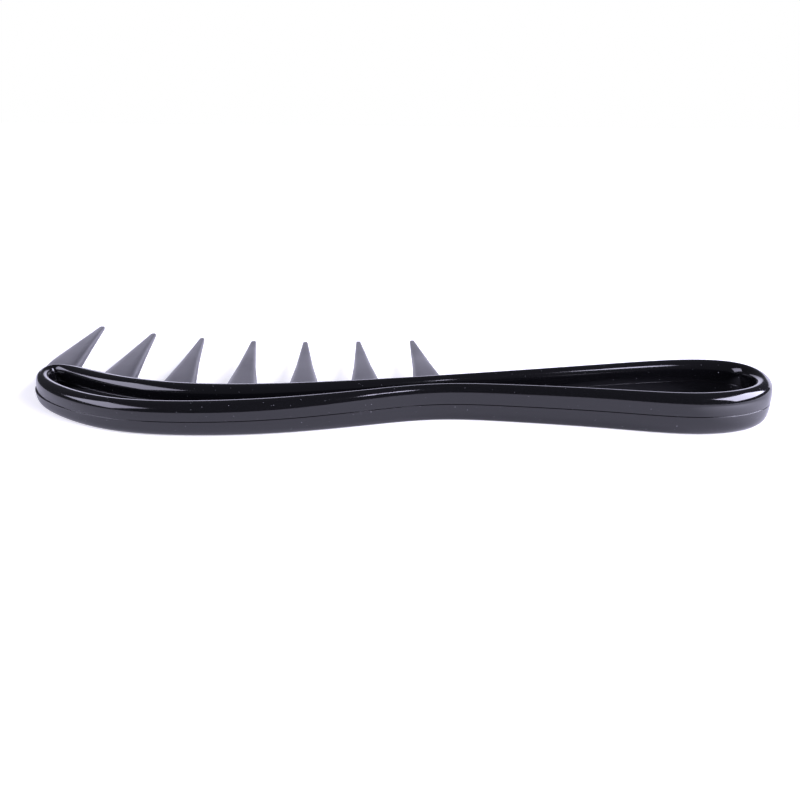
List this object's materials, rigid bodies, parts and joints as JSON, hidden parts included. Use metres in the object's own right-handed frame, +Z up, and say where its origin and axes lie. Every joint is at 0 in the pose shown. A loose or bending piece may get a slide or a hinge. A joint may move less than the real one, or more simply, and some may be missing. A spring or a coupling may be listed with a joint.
{
  "type": "wide-tooth handle comb",
  "caption": "Wide-tooth comb whose open loop of rounded rail is both head and handle, with flat tapering teeth along one side.",
  "frame": {"origin": "middle of the comb's bounding box, on the surface it lies on", "axes": "+X along the comb to the handle's end, +Y to the tooth tips, +Z up"},
  "size_m": [0.2231, 0.0891, 0.0122],
  "materials": {
    "rail_gloss": "polished black moulded plastic",
    "tooth_satin": "satin black moulded plastic"
  },
  "bodies": {
    "root": {"upper_shell": "rail_gloss", "lower_shell": "rail_gloss", "tooth_1": "tooth_satin", "tooth_2": "tooth_satin", "tooth_3": "tooth_satin", "tooth_4": "tooth_satin", "tooth_5": "tooth_satin", "tooth_6": "tooth_satin", "tooth_7": "tooth_satin"}
  },
  "joints": []
}
